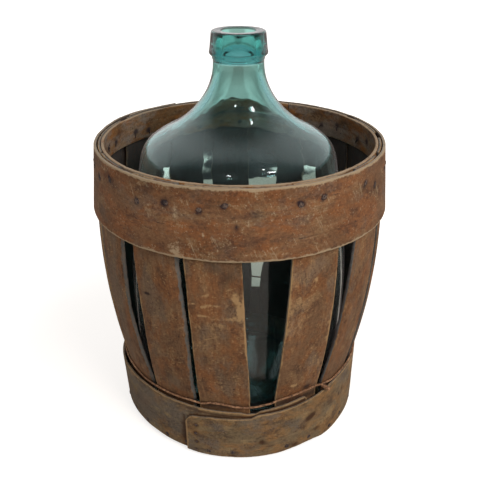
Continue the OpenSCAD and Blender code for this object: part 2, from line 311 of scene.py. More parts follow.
def mark_point(vert, layers, place, edge, stain=0.0, rub=0.0, shade=0.0, dust=0.0):
    """Gives a point of a board what the wood material reads there."""
    for layer, value in zip(layers, (place, edge, stain, rub, shade, dust)):
        vert[layer] = value


def put_in_scene(name, data):
    made = bpy.data.objects.new(name, data)
    bpy.context.scene.collection.objects.link(made)
    return made


def new_piece(name, bm, material, body, nodes, smooth=0.9):
    """Turns a bmesh into a piece that rides on a body and stands for CAD nodes."""
    mesh = bpy.data.meshes.new(name)
    bm.to_mesh(mesh)
    bm.free()
    mesh.materials.append(material)
    mesh.shade_smooth()
    mesh.set_sharp_from_angle(angle=smooth)
    piece = put_in_scene(name, mesh)
    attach(piece, body)
    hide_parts(*nodes)


plank_wood = wood_material(
    "sawn_plank_wood", 0.0008, pale=(118, 98, 72), middle=(88, 72, 54),
    dark=(58, 46, 36), dusty=(90, 82, 70), warm=(100, 74, 50),
    stained=(40, 32, 28), rubbed=(134, 112, 84), side=(88, 74, 58),
    thickness=0.0, streaks=1.3, patches=0.8, scratches=0.6, wear=0.003)

for plank_number, (plank_node, plank_shade) in enumerate(
        (("base_plank_left", 0.05), ("base_plank_middle", -0.1), ("base_plank_right", 0.12))):
    plank_low, plank_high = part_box(plank_node)
    bm = bmesh.new()
    bmesh.ops.create_circle(bm, cap_ends=True, radius=board_radius, segments=144)
    for side, cut in ((-1, plank_low.x), (1, plank_high.x)):
        if abs(cut) < board_radius - 0.001:
            bmesh.ops.bisect_plane(bm, geom=bm.verts[:] + bm.edges[:] + bm.faces[:],
                                   plane_co=(cut, 0, 0), plane_no=(side, 0, 0),
                                   clear_outer=True)
    thicken(bm, board_thickness)
    outline = sharp_edges(bm)
    flats = [face for face in bm.faces if abs(face.normal.z) > 0.9]
    bmesh.ops.inset_individual(bm, faces=flats, thickness=plank_border, depth=0)
    round_edges(bm, [edge for edge in outline if edge.is_valid], plank_rounding)
    layers = wood_layers(bm)
    for vert in bm.verts:
        x, y, z = vert.co
        to_side = min(x - plank_low.x, plank_high.x - x)
        edge = max(0.0, min(board_radius - math.hypot(x, y), to_side, 0.02))
        mark_point(vert, layers, (y + plank_number * plank_offset, x, z), edge, plank_stain,
                   shade=plank_shade)
    new_piece(plank_node.replace("base_", ""), bm, plank_wood, "basket", [plank_node],
              smooth=0.6)

# Slats
# Fourteen thin boards of split chestnut, bent over a bulging form, that stand round the base board.
# Their edges are hand cut and ragged. Nails hold them between the hoops at the rim and to the foot.

basket_height = 0.368
belly_radius, belly_height = 0.1784, 0.262
waist_radius, waist_height = 0.1568, 0.080
slat_top_radius, slat_foot_radius = 0.1708, 0.1556
slat_thickness = 0.003
slat_flat_width = 0.0575
slat_spare = 0.0013
slat_bevel_depth = 0.0023
slat_ragged, slat_worn_ragged = 0.0019, 0.0030
# Where the painted shade on a slat's worn left bevel begins, out from its middle
shaded_strip_from = 0.0272
# Height of the painted shade on the slats between the foot hoop's top and the wire
hoop_top_shade_height = 0.078
slat_shy = 0.0008
slat_step = 0.003
slat_offset = 0.83
slat_rounding = 0.0005
slat_slices = 19
# Left and right edge of each slat as azimuths at these heights, read at the front and through
# the glass at the back
edge_heights = (0.0, 0.090, 0.190, 0.283, 0.368)
slat_edges = {
    "slat_12": ((-65, -65, -65, -66, -68), (-42.6, -43.4, -48.2, -47.6, -49)),
    "slat_13": ((-41.1, -41.3, -39.9, -41.5, -41.3), (-19.4, -19.6, -19.4, -21.4, -21)),
    "slat_14": ((-17.9, -18.1, -18.2, -19.7, -19.4), (4.8, 4.8, 2.5, 0.9, 0.3)),
    "slat_01": ((15.6, 15.6, 16.9, 18.3, 18.6), (37.3, 37.3, 37.4, 37.6, 37.6)),
    "slat_02": ((39.8, 39.9, 43.2, 46.5, 46.2), (58.8, 59.2, 62.6, 64.8, 64.8)),
    "slat_03": ((67, 67, 67.6, 68.5, 68.5), (88.5, 88.5, 89, 89.2, 88)),
    "slat_04": ((95.6, 95.6, 94.8, 94.8, 96.5), (117.6, 117.6, 118.2, 118.4, 116.5)),
    "slat_05": ((122, 122, 122.6, 122.2, 122), (140.3, 140.3, 140.5, 140.3, 140.5)),
    "slat_06": ((148, 148, 147.5, 147.5, 147.5), (168.6, 167.6, 163, 161.6, 162)),
    "slat_07": ((172.8, 172.8, 175, 175.3, 175), (192, 192, 193.4, 193.8, 194)),
    "slat_08": ((197, 197, 198, 198.3, 198.6), (218.4, 218.4, 216.8, 215.8, 216)),
    "slat_09": ((219.2, 219.2, 219.6, 220.2, 220.6), (243, 243, 242.6, 242.6, 242)),
    "slat_10": ((-116, -116, -116.6, -114.6, -113), (-90.6, -90.6, -91.4, -91.6, -91.4)),
    "slat_11": ((-87.6, -87.6, -88, -90.4, -90.2), (-68, -68, -68.4, -69.6, -70))}
# Width of the worn bevel on the left and right edge of some slats
slat_bevels = {"slat_12": (0.0, 0.0062), "slat_13": (0.0, 0.0054), "slat_02": (0.0024, 0.0),
               "slat_03": (0.0024, 0.0)}
# How far the feet of the slats and the lower edge of the foot hoop stay above the floor
foot_lift_azimuths = (-180, -110, -85, -65, -45, -30, -18, -8, 6, 16, 24, 31, 36, 41, 46, 180)
foot_lifts = (0, 0, 0.0030, 0.0072, 0.0075, 0.0052, 0.0030, 0.0022, 0.0022, 0.0026, 0.0044,
              0.0058, 0.0050, 0.0016, 0, 0)
# Azimuths of the nails' pairs
slat_middles = (27, 52, 77.5, 106.5, 131.5, 155, -175, -151.5, -126.5, -101, -78, -54.5, -30.5,
                -8)
slat_shades = (0.04, 0.02, 0.0, -0.06, 0.05, -0.04, 0.06, -0.07, 0.03, -0.03, -0.07, -0.04, -0.04,
               0.0)


def noise_at(*place):
    return noise.noise(Vector(place))


def bulge(drop, height, at):
    """How far a board that comes in by drop over a height has come in at a height."""
    return drop * at * at / (height * height)


def slat_face(z):
    """Radius of the slats' outside at a height."""
    if z > belly_height:
        return belly_radius - bulge(belly_radius - slat_top_radius,
                                    basket_height - belly_height, z - belly_height)
    if z > waist_height:
        return belly_radius - bulge(belly_radius - waist_radius,
                                    belly_height - waist_height, belly_height - z)
    return slat_foot_radius + (waist_radius - slat_foot_radius) * z / waist_height


def read_off(table_x, table_y, x):
    """A value between the entries of a table."""
    if x <= table_x[0]:
        return table_y[0]
    for i in range(1, len(table_x)):
        if x <= table_x[i]:
            share = (x - table_x[i - 1]) / (table_x[i] - table_x[i - 1])
            return table_y[i - 1] + (table_y[i] - table_y[i - 1]) * share
    return table_y[-1]


def foot_lift(azimuth):
    return read_off(foot_lift_azimuths, foot_lifts, (azimuth + 180) % 360 - 180)


def split_board(length, width, thickness, along, across, rounding):
    """A flat board with its grain along x, its width along y and its outside up."""
    bm = bmesh.new()
    bmesh.ops.create_grid(bm, x_segments=along, y_segments=across, size=0.5)
    bmesh.ops.scale(bm, vec=(length, width, 1), verts=bm.verts)
    thicken(bm, thickness)
    round_edges(bm, sharp_edges(bm), rounding)
    return bm


def ragged_cut(along, seed, depth):
    """How far a hand-cut edge has come in at a place along it."""
    slow = noise_at(along * 22, seed, 0.3)
    quick = noise_at(along * 130, seed, 7.1)
    fine = noise_at(along * 420, seed, 3.7)
    return depth * (0.5 * abs(slow) + 0.4 * abs(quick) + 0.25 * abs(fine))


def spotted(spots, azimuth, z, radius):
    """Strength of a list of soft spots at a place: azimuth, height, half width and height in mm."""
    total = 0.0
    for at, height, half_width, half_height, strength in spots:
        across = math.radians((azimuth - at + 180) % 360 - 180) * radius * 1000 / half_width
        up = (z * 1000 - height) / half_height
        total += strength * math.exp(-(across * across + up * up))
    return total


def at_azimuth(azimuth, radius, z):
    turned = math.radians(azimuth)
    return Vector((radius * math.sin(turned), -radius * math.cos(turned), z))


# The inside faces of the slats take painted shade, set by inside
slat_wood = wood_material(
    "split_slat_wood", 0.0006, pale=(144, 112, 78), middle=(114, 84, 59),
    dark=(82, 57, 43), dusty=(112, 94, 76), warm=(124, 82, 51),
    stained=(40, 30, 30), rubbed=(172, 138, 96), side=(101, 107, 106),
    thickness=slat_thickness, streaks=0.45, patches=0.9, scratches=1.0, wear=0.003,
    inside=0.65)

# Stains and worn places: azimuth, height, half width and half height in mm, and strength
slat_stains = {
    "slat_14": [(-9, 279, 13, 10, 0.45), (-4, 268, 10, 10, 0.45), (-14, 150, 8, 14, 0.4)],
    "slat_01": [(28, 285, 1.5, 1.6, 1.8), (30.9, 94, 8, 5, 1.2), (22, 170, 6, 8, 0.4)],
    "slat_13": [(-35.8, 229.4, 4.5, 1.8, 1.5), (-30, 225, 9, 16, 0.35), (-33, 110, 10, 14, 0.5)],
    "slat_12": [(-52, 180, 9, 26, 0.4)]}
slat_rubs = {
    "slat_14": [(-16.6, 231.2, 4, 1.8, 1.4), (-13, 228.9, 4, 1.8, 1.4), (-13, 216.6, 8, 1.8, 1.2),
                (-4, 215.6, 9, 1.8, 1.4), (-1.4, 241.8, 6, 8, 1.2), (0.3, 224, 4, 12, 1.2),
                (2.6, 180, 2.6, 20, 0.7), (-15, 195, 6, 18, 0.45), (-12, 244, 5, 1.8, 1),
                (-6, 205, 16, 7, 0.55), (-9, 232, 12, 1.8, 0.9), (-3, 150, 9, 24, 0.35)],
    "slat_01": [(27.8, 254.7, 3.2, 5, 1.1), (23.5, 103, 5, 3, 1.2), (24.6, 137, 1.8, 9, 1.2),
                (21.5, 234, 5, 9, 0.6), (20.5, 165, 4, 20, 0.5), (30, 200, 5, 14, 0.4),
                (18.6, 200, 2.5, 40, 0.6), (36.4, 190, 2.5, 60, 0.5)],
    "slat_02": [(50, 210, 8, 14, 0.35), (56, 160, 6, 30, 0.4)],
    "slat_13": [(-25, 210, 4, 16, 0.35)]}

slat_dust = {
    "slat_12": [(-57, 180, 16, 70, 1), (-55, 290, 14, 30, 0.7)],
    "slat_13": [(-35, 245, 9, 26, 1.5), (-30, 210, 8, 16, 0.9), (-30, 105, 9, 12, 1),
                (-36, 300, 9, 20, 0.6)],
    "slat_14": [(-10, 278, 12, 8, 0.9), (-5, 110, 10, 16, 0.5)],
    "slat_01": [(31, 130, 6, 20, 0.6), (34, 240, 5, 20, 0.5)],
    "slat_02": [(48, 250, 8, 30, 0.8)]}

slat_length = basket_height - 2 * slat_shy
half_width = slat_flat_width / 2
for slat_number, slat_shade in enumerate(slat_shades):
    slat_name = "slat_%02d" % (slat_number + 1)
    left, right = slat_edges[slat_name]
    bm = split_board(slat_length, slat_flat_width, slat_thickness, round(slat_length / slat_step),
                     slat_slices, slat_rounding)
    layers = wood_layers(bm)
    seed = slat_number * 3.7
    for vert in bm.verts:
        x, y, depth = vert.co
        z = x + basket_height / 2
        side = 1 if y > 0 else -1
        worn = slat_bevels.get(slat_name, (0.0, 0.0))[side > 0]
        worn *= (1 + 0.5 * noise_at(z * 45, seed, 1.7)
                 + 0.5 * noise_at(z * 150, seed, 4.9))
        if worn and depth > slat_thickness / 2:
            depth -= max(0.0, abs(y) - half_width + worn) / worn * slat_bevel_depth
        cut = ragged_cut(z, seed + side, slat_worn_ragged if worn else slat_ragged)
        cut *= (abs(y) / half_width) ** 5
        share = (y - side * cut) / slat_flat_width + 0.5
        azimuth = (read_off(edge_heights, left, z) * (1 - share)
                   + read_off(edge_heights, right, z) * share)
        face = slat_face(z)
        uneven = 0.00022 * noise_at(z * 30, y * 60, seed)
        # The boards are split a little thicker where they bulge, on the inside
        spare = slat_spare * math.sin(math.pi * min(1.0, max(0.0, (z - 0.07) / 0.26))) ** 0.5
        radius = face - slat_thickness - spare * (1 - depth / slat_thickness) + depth + uneven
        stain, rub, dust = (spotted(spots.get(slat_name, ()), azimuth, z, face)
                            for spots in (slat_stains, slat_rubs, slat_dust))
        # Painted shade on the slats along the foot hoop's top, under the wire
        stain += 0.75 * math.exp(-((z - hoop_top_shade_height) / 0.006) ** 2)
        # The worn left bevels of the slats right of the front face away from the lamp and are
        # painted dark as shade
        if side < 0 and worn and abs(y) > shaded_strip_from:
            stain += 0.9
        edge = min(half_width - abs(y), slat_length / 2 - abs(x)) + 0.6 * worn
        mark_point(vert, layers, (x + slat_number * slat_offset, y, depth), edge, stain, rub,
                   slat_shade, dust)
        lifted = foot_lift(azimuth) * max(0.0, 1 - z / 0.06)
        vert.co = at_azimuth(azimuth, radius, z + lifted)
    new_piece("bent_" + slat_name, bm, slat_wood, "basket", [slat_name])

# Foot hoop
# One long bent board wound once round the feet of the slats and lapped over its own start at the
# front. Its top edge is uneven, and its cut end is nailed down by a column of nails.

foot_hoop_thickness = 0.003
foot_start = 31.0
foot_turn = 415.0
foot_ride = 30.0
foot_step = 0.0033
foot_clear = 0.0003
foot_flare = 0.004
foot_full_width = 0.075
foot_radius = 0.160
foot_slices = 44
hoop_rounding = 0.0006
# Top edge of the hoop by how far it has been wound, in degrees
foot_top_turned = (0, 1, 7, 12, 18, 22, 24, 28, 31, 43, 55, 76, 91, 100, 121, 165, 211, 250, 301,
                   311, 321, 331, 345, 352, 357, 361, 366, 374, 381, 383.5, 386, 403, 411, 413.5,
                   415)
foot_top_height = (0.0760, 0.0796, 0.0778, 0.0758, 0.0740, 0.0727, 0.0700, 0.0694, 0.0722, 0.0736,
                   0.0756, 0.0776, 0.0772, 0.0735, 0.0680, 0.0660, 0.0600, 0.0665, 0.0745, 0.0752,
                   0.0785, 0.0805, 0.0800, 0.0770, 0.0755, 0.0740, 0.0720, 0.0703, 0.0700, 0.0690,
                   0.0645, 0.0643, 0.0622, 0.0592, 0.0510)


def wound_rise(turned, ride, step):
    """How far a hoop has ridden up over its own start."""
    if turned <= 360 - ride:
        return 0.0
    if turned >= 360:
        return step
    return step * (1 + math.cos(math.pi * (360 - turned) / ride)) / 2


def foot_face(azimuth, z):
    """Inner radius of the foot hoop: it hugs the slats on the right and stands off on the left."""
    off = slat_face(foot_full_width) - slat_foot_radius
    off += foot_flare * (1 - math.sin(math.radians(azimuth))) / 2
    return slat_foot_radius + foot_clear + off * z / foot_full_width


foot_wood = wood_material(
    "foot_hoop_wood", 0.0005, pale=(146, 124, 88), middle=(112, 94, 70),
    dark=(80, 63, 50), dusty=(100, 91, 82), warm=(130, 96, 60),
    stained=(64, 40, 26), rubbed=(160, 128, 90), side=(112, 102, 92),
    thickness=foot_hoop_thickness, streaks=0.25, patches=1.0, scratches=0.8, wear=0.003)

foot_stains = [
    (31.4, 43.5, 6, 4.4, 0.8), (33.2, 46, 6, 5, 0.9), (34.8, 48.5, 5, 4.4, 0.7),
    (28.6, 39.5, 4.5, 3, 0.4), (12, 24, 10, 5, 0.5), (30, 33, 5, 3, 0.6),
    (29, 71, 5, 5, 0.8), (53.7, 47.9, 3.2, 4.5, 1.1),
    (37.4, 20.6, 5, 3.5, 0.9), (25.3, 9.6, 6, 4, 1.0), (9.7, 27.4, 3.4, 4, 1.0),
    (45, 14, 5, 4, 0.8), (31.9, 5, 5, 3, 0.9), (-19.3, 8, 3.4, 3.4, 1.2),
    (-19, 22, 3.4, 3.4, 1.2), (-19.3, 35.5, 3.4, 3.4, 1.2), (-18.9, 49, 3.4, 3.4, 1.2),
    (-3, 4, 6, 4, 0.9),
    (-55, 40, 22, 24, 0.3), (-26.5, 24, 4, 30, 0.5), (57, 52, 3, 6, 0.9), (4, 18, 9, 6, 0.5)]
# The lap is paler, and the hoop greyer before it
foot_dust = [(-50, 50, 45, 30, 1.3), (-30, 40, 12, 34, 0.9), (14, 66, 14, 5, 0.8),
             (-10, 45, 14, 14, 0.5)]
foot_rubs = [(4.3, 54.3, 8, 5, 0.5), (0, 43, 10, 6, 0.3), (20.3, 57, 3, 4, 0.9),
             (-60, 72, 12, 4, 0.5), (17, 62, 8, 2.5, 0.5), (60, 40, 10, 12, 0.3)]

def wound_points(bm, length, width, start, turn):
    """Each point of a board to be wound, its place along the board, how far it is wound, its
    azimuth, its share of the width and its depth."""
    for vert in bm.verts:
        x, y, depth = vert.co
        turned = (x / length + 0.5) * turn
        yield vert, x, turned, start - turned, y / width + 0.5, depth


# Metres of the hoop to each degree, and how high the painted shadow beside the lap's cut end
# reaches
foot_arc = 0.0028
lap_shadow_top = 0.058
foot_length = math.radians(foot_turn) * foot_radius
bm = split_board(foot_length, foot_full_width, foot_hoop_thickness, round(foot_turn),
                 foot_slices, hoop_rounding)
layers = wood_layers(bm)
for vert, x, turned, azimuth, share, depth in wound_points(
        bm, foot_length, foot_full_width, foot_start, foot_turn):
    top = read_off(foot_top_turned, foot_top_height, turned)
    top -= ragged_cut(turned * foot_arc, 31, 0.0016)
    bottom = foot_lift(azimuth) + ragged_cut(turned * foot_arc, 47, 0.0012)
    z = bottom + (top - bottom) * share
    uneven = 0.0006 * noise_at(turned * 0.07, z * 25, 5)
    rise = wound_rise(turned, foot_ride, foot_step)
    radius = foot_face(azimuth, z) + rise + depth + abs(uneven)
    stain = spotted(foot_stains, azimuth, z, radius)
    if turned < foot_turn - 360:
        # Painted shade darkens the start of the hoop just above the top of the end that laps over
        # it, and in a second dark line just below the start's own top edge
        lap_top = read_off(foot_top_turned, foot_top_height, turned + 360)
        stain += math.exp(-((z - lap_top - 0.0005) / 0.0024) ** 2)
        stain += 0.9 * math.exp(-((top - z - 0.0042) / 0.0014) ** 2)
    # A painted shadow runs down the hoop just beside the lap's cut end
    if z < lap_shadow_top:
        stain += 0.9 * math.exp(-(turned - foot_turn + 359) ** 2)
    rub = (spotted(foot_rubs, azimuth, z, radius)
           + 0.6 * math.exp(-((turned - foot_turn) / 1.6) ** 2))
    edge = min(z - bottom, top - z, (foot_turn - turned) * foot_arc, turned * foot_arc)
    # Painted light and shade: the hoop is lighter on its right and darker on its left, as the lamp
    # stands at the front right
    mark_point(vert, layers, (x + 20, z, depth), edge, stain, rub,
               0.03 + 0.1 * math.sin(math.radians(azimuth)),
               spotted(foot_dust, azimuth, z, radius))
    vert.co = at_azimuth(azimuth, radius, z)
new_piece("wound_foot_hoop", bm, foot_wood, "basket", ["foot_hoop"])

# Rim hoops
# A wide bent board runs round outside the slats and laps over its own start at the back left. A
# narrower one runs round inside them. Their edges are worn pale, and nails pass through all three.

rim_width = 0.080
rim_thickness = 0.0034
rim_clear = 0.0005
rim_start = -122.0
rim_turn = 387.0
rim_ride = 27.0
rim_step = 0.0037
rim_low = basket_height - rim_width
rim_radius, inner_radius = 0.178, 0.166
rim_slices, inner_slices = 26, 12
rim_nail_height, rim_nail_spread = 346, 4.8
rim_inner_width = 0.038
rim_inner_thickness = 0.0034


def rim_face(z, low, off):
    """Radius at a height of a straight board that touches the slats at its two edges."""
    share = (z - low) / (basket_height - low)
    return slat_face(low) + (slat_face(basket_height) - slat_face(low)) * share + off


rim_off = rim_clear + bulge(belly_radius - slat_top_radius, basket_height - belly_height,
                            rim_width / 2)

# Azimuth and height of each rim nail: read from the front and spread elsewhere
rim_nails_seen = {
    "slat_12": ((-62.9, 343), (-53.3, 350.6)),
    "slat_13": ((-37.4, 340.5), (-25.3, 346.6)), "slat_14": ((-13.4, 344.2), (-4.7, 350)),
    "slat_01": ((20.8, 346.5), (29.6, 350.5)), "slat_02": ((50.6, 349.7), (58, 341))}
hand = random.Random(7)
rim_nail_places = []
for slat_number, middle in enumerate(slat_middles):
    seen = rim_nails_seen.get("slat_%02d" % (slat_number + 1))
    for side in (0, 1):
        guess = (middle + (side * 2 - 1) * rim_nail_spread + hand.uniform(-0.8, 0.8),
                 rim_nail_height + hand.uniform(-5, 5))
        rim_nail_places.append(seen[side] if seen else guess)

# The inside face of the outer rim hoop takes painted shade, set by inside
rim_wood = wood_material(
    "rim_hoop_wood", 0.0005, pale=(144, 112, 78), middle=(117, 83, 57),
    dark=(84, 58, 45), dusty=(110, 90, 74), warm=(128, 82, 50),
    stained=(30, 28, 36), rubbed=(170, 148, 118), side=(146, 132, 116),
    thickness=rim_thickness, streaks=0.25, patches=0.9, scratches=1.4, wear=0.0035,
    inside=0.7)

rim_stains = [(azimuth + hand.uniform(-0.3, 0.3), z + hand.uniform(-0.8, 0.8),
               hand.uniform(2.8, 4.0), hand.uniform(2.6, 3.6), hand.uniform(0.9, 1.3))
              for azimuth, z in rim_nail_places]
rim_stains += [(azimuth + hand.uniform(-1.7, 1.7), z + hand.uniform(-5, 5),
                hand.uniform(1.8, 4.2), hand.uniform(1.8, 4.2), hand.uniform(0.3, 0.7))
               for azimuth, z in rim_nail_places for blob in range(3)]
rim_stains += [(-1.0, 327, 3.2, 3.6, 1.0), (-1.3, 318, 4, 6, 0.5), (5, 340, 7, 7, 0.4)]
rim_rubs = [(-33, 330, 20, 10, 0.2), (30, 336, 16, 5, 0.2), (-26.5, 314.3, 14, 1.7, 0.9),
            (-12, 317, 1.7, 6, 0.8), (-21.9, 340, 3, 14, 0.6), (-22.7, 301.7, 12, 6, 0.8),
            (-20, 294, 20, 4, 0.5), (-40, 318, 14, 6, 0.3), (3, 330, 2, 9, 0.5),
            (42, 322, 9, 5, 0.4)]

rim_arc = 0.0031
rim_length = math.radians(rim_turn) * rim_radius
bm = split_board(rim_length, rim_width, rim_thickness, round(rim_turn), rim_slices,
                 hoop_rounding)
layers = wood_layers(bm)
for vert, x, turned, azimuth, share, depth in wound_points(
        bm, rim_length, rim_width, rim_start, rim_turn):
    top = basket_height - ragged_cut(turned * rim_arc, 61, 0.0016)
    bottom = rim_low + ragged_cut(turned * rim_arc, 71, 0.0022)
    z = bottom + (top - bottom) * share
    uneven = 0.0005 * noise_at(turned * 0.06, z * 20, 9)
    rise = wound_rise(turned, rim_ride, rim_step)
    radius = rim_face(z, rim_low, rim_off) + rise + depth - abs(uneven)
    rub = (spotted(rim_rubs, azimuth, z, radius) + 0.35 * max(0, 1 - (top - z) / 0.008)
           + 0.5 * max(0, 1 - (z - bottom) / 0.0032))
    edge = min(z - bottom, top - z, (rim_turn - turned) * rim_arc, turned * rim_arc)
    mark_point(vert, layers, (x + 30, z, depth), edge,
               spotted(rim_stains, azimuth, z, radius), rub)
    vert.co = at_azimuth(azimuth, radius, z)
new_piece("wound_rim_hoop", bm, rim_wood, "basket", ["rim_outer_hoop"])

inner_rim_wood = wood_material(
    "inner_rim_hoop_wood", 0.0006, pale=(150, 122, 92), middle=(124, 92, 64),
    dark=(82, 58, 44), dusty=(140, 130, 120), warm=(142, 92, 48),
    stained=(62, 52, 54), rubbed=(164, 142, 116), side=(112, 94, 78),
    thickness=0.0, streaks=0.6, patches=1.0, scratches=0.8, wear=0.0025)
# Its inside is greyer low down at the back right. Painted light makes its left half lighter and
# painted shade its right half darker, as the lamp from the front right reaches the back left
inner_dust = [(142, 338, 70, 9, 1.5), (170, 340, 30, 7, 1.0), (-140, 334, 60, 3, 1.2),
              (-100, 345, 60, 14, 0.7), (100, 345, 60, 14, 0.7)]

inner_low = basket_height - rim_inner_width
inner_off = -slat_thickness - rim_clear - rim_inner_thickness
inner_start, inner_turn = 155, 359.7
inner_arc = 0.0029
inner_length = math.radians(inner_turn) * inner_radius
bm = split_board(inner_length, rim_inner_width, rim_inner_thickness, round(inner_turn),
                 inner_slices, hoop_rounding)
layers = wood_layers(bm)
for vert, x, turned, azimuth, share, depth in wound_points(
        bm, inner_length, rim_inner_width, inner_start, inner_turn):
    top = basket_height - ragged_cut(turned * inner_arc, 81, 0.0014)
    bottom = inner_low + ragged_cut(turned * inner_arc, 91, 0.0018)
    z = bottom + (top - bottom) * share
    uneven = 0.0004 * noise_at(turned * 0.06, z * 20, 13)
    radius = rim_face(z, inner_low, inner_off) + depth - abs(uneven)
    # The shade here is painted light on the hoop's left half and painted shade on its right half
    mark_point(vert, layers, (x + 40, z, depth), min(z - bottom, top - z),
               spotted(rim_stains, azimuth, z, radius),
               shade=-0.10 * math.sin(math.radians(azimuth)),
               dust=spotted(inner_dust, azimuth, z, radius))
    vert.co = at_azimuth(azimuth, radius, z)
new_piece("inner_rim_hoop", bm, inner_rim_wood, "basket", ["rim_inner_hoop"])

# Nails
# Hand-forged iron nails with small uneven heads, sunk a little into the wood and rusted. The rim
# nails pass through three boards and are bent over inside. The others end in the wood.

nail_head_radius = 0.0029
nail_head_height = 0.0009
nail_shank_radius = 0.0011
clench_length = 0.008
nail_slices = 12
nail_sunk = 0.0002


def iron_material(name, bright, middle, dark, relief):
    """Rusted iron on object coordinates."""
    material, tree, shader = new_material(name)
    place = add_node(tree, "ShaderNodeTexCoord").outputs["Object"]
    crust = grained(tree, place, (420.0, 420.0, 420.0), 6.0, 0.65)
    bloom = grained(tree, place, (90.0, 90.0, 90.0), 3.0, 0.5)
    low = blended(tree, between(tree, crust, 0.36, 0.54), dark, middle)
    color = blended(tree, between(tree, sum_of(tree, (crust, 0.6), (bloom, 0.5)), 0.52, 0.72),
                    low, bright)
    give_surface(tree, color, between(tree, crust, 0.3, 0.7, 0.6, 0.9), crust, 0.8, relief)
    shader.inputs["Metallic"].default_value = 0.25
    return material


nail_iron = iron_material("rusted_nail_iron", srgb(136, 114, 100), srgb(76, 62, 58),
                          srgb(36, 32, 38), 0.0004)


def towards_axis(azimuth, radius, z):
    """Turns a shape whose top is +Z so that its top looks out from the axis at a place."""
    outwards = at_azimuth(azimuth, 1.0, 0.0)
    turned = Vector((0, 0, 1)).rotation_difference(outwards).to_matrix().to_4x4()
    return Matrix.Translation(at_azimuth(azimuth, radius, z)) @ turned


def rise_at(azimuth, start, turn, ride, step):
    """How far the outer turn of a wound hoop has ridden up at an azimuth."""
    turned = (start - azimuth + 720) % 360
    return wound_rise(turned + 360 if turned < turn - 360 else turned, ride, step)


def drive_nail(bm, azimuth, z, head_radius, tip_radius, head=nail_head_radius):
    """A nail with a domed head seated at one radius and its tip at another."""
    seat = towards_axis(azimuth, head_radius, z)
    made = bmesh.ops.create_uvsphere(bm, u_segments=18, v_segments=10, radius=1.0)
    size = head * hand.uniform(0.85, 1.08)
    seed = hand.uniform(0, 50)
    for vert in made["verts"]:
        lump = 1 + 0.34 * noise.noise(vert.co * 1.7 + Vector((seed, 0, 0)))
        flat = max(vert.co.z, -0.35)
        vert.co = Vector((vert.co.x * size * lump, vert.co.y * size * lump,
                          flat * nail_head_height * lump))
    bmesh.ops.transform(bm, matrix=seat, verts=made["verts"])
    shank_length = head_radius - tip_radius
    bmesh.ops.create_cone(bm, cap_ends=True, segments=nail_slices,
                          radius1=nail_shank_radius * 0.5, radius2=nail_shank_radius,
                          depth=shank_length,
                          matrix=seat @ Matrix.Translation((0, 0, -shank_length / 2)))


bm = bmesh.new()
for azimuth, height in rim_nail_places:
    z = height / 1000
    rise = rise_at(azimuth, rim_start, rim_turn, rim_ride, rim_step)
    outside = rim_face(z, rim_low, rim_off) + rim_thickness + rise - nail_sunk
    inside = rim_face(z, inner_low, inner_off)
    drive_nail(bm, azimuth, z, outside, inside - nail_shank_radius)
    # The point is bent down flat against the inner hoop
    point = bmesh.ops.create_cone(
        bm, cap_ends=True, segments=nail_slices, radius1=0.0003, radius2=nail_shank_radius,
        depth=clench_length, matrix=Matrix.Translation((0, 0, -clench_length / 2)))
    bmesh.ops.subdivide_edges(
        bm, edges=list({edge for vert in point["verts"] for edge in vert.link_edges
                        if abs(edge.verts[0].co.z - edge.verts[1].co.z) > 0.001}), cuts=5)
    lying = [vert for vert in bm.verts if abs(vert.co.x) < 0.002 and abs(vert.co.y) < 0.002]
    lean = hand.uniform(-0.5, 0.5)
    for vert in lying:
        along = -vert.co.z / clench_length
        vert.co.x += 0.0012 * math.sin(along * 2.4)
    bmesh.ops.rotate(bm, cent=(0, 0, 0), matrix=Matrix.Rotation(lean, 3, "Y"), verts=lying)
    inwards = Matrix.Rotation(math.radians(azimuth), 4, "Z")
    bmesh.ops.transform(
        bm, matrix=Matrix.Translation(at_azimuth(azimuth, inside - 0.0010, z + 0.0008)) @ inwards,
        verts=lying)
new_piece("rim_nail_set", bm, nail_iron, "basket", ["rim_nails"])

foot_nail_height = 0.008
foot_nail_tip = 0.1303
foot_nail_spread = 5.4
lap_nail_head_radius = 0.0022
bm = bmesh.new()
for middle in slat_middles:
    for side in (-1, 1):
        azimuth = middle + side * foot_nail_spread + hand.uniform(-0.6, 0.6)
        z = foot_nail_height + hand.uniform(-0.0015, 0.002) + foot_lift(azimuth) * 0.8
        rise = rise_at(azimuth, foot_start, foot_turn, foot_ride, foot_step)
        outside = foot_face(azimuth, z) + foot_hoop_thickness + rise
        drive_nail(bm, azimuth, z, outside, foot_nail_tip)
new_piece("foot_nail_set", bm, nail_iron, "basket", ["foot_nails"])

bm = bmesh.new()
for azimuth, z in ((-19.4, 0.008), (-19.0, 0.022), (-19.3, 0.0355), (-18.9, 0.049)):
    face = foot_face(azimuth, z)
    drive_nail(bm, azimuth, z, face + foot_hoop_thickness + foot_step, face,
               head=lap_nail_head_radius)
new_piece("lap_nail_set", bm, nail_iron, "basket", ["lap_nails"])

# Wire
# A turn of thin iron wire drawn round the slats just above the foot hoop, slack in places, with
# its two ends twisted together at the right.

wire_radius = 0.00125
wire_azimuths = (-180, -150, -125, -100, -80, -60, -49, -36.6, -21.4, -16.3, -12.7, -7.9, -2, 4.1,
                 7.6, 14.2, 17.7, 28.6, 35.4, 39.9, 46.7, 58.2, 75, 95, 120, 150)
wire_heights = (0.0815, 0.083, 0.081, 0.082, 0.083, 0.0828, 0.080, 0.0803, 0.080, 0.079, 0.083,
                0.0826, 0.0785, 0.0775, 0.078, 0.081, 0.0845, 0.0885, 0.0895, 0.0855, 0.0815,
                0.085, 0.083, 0.0815, 0.083, 0.0815)
wire_twist_azimuth = 39.5
wire_twist_length = 0.012
wire_twist_steps = 36
wire_spread = wire_radius * 1.05

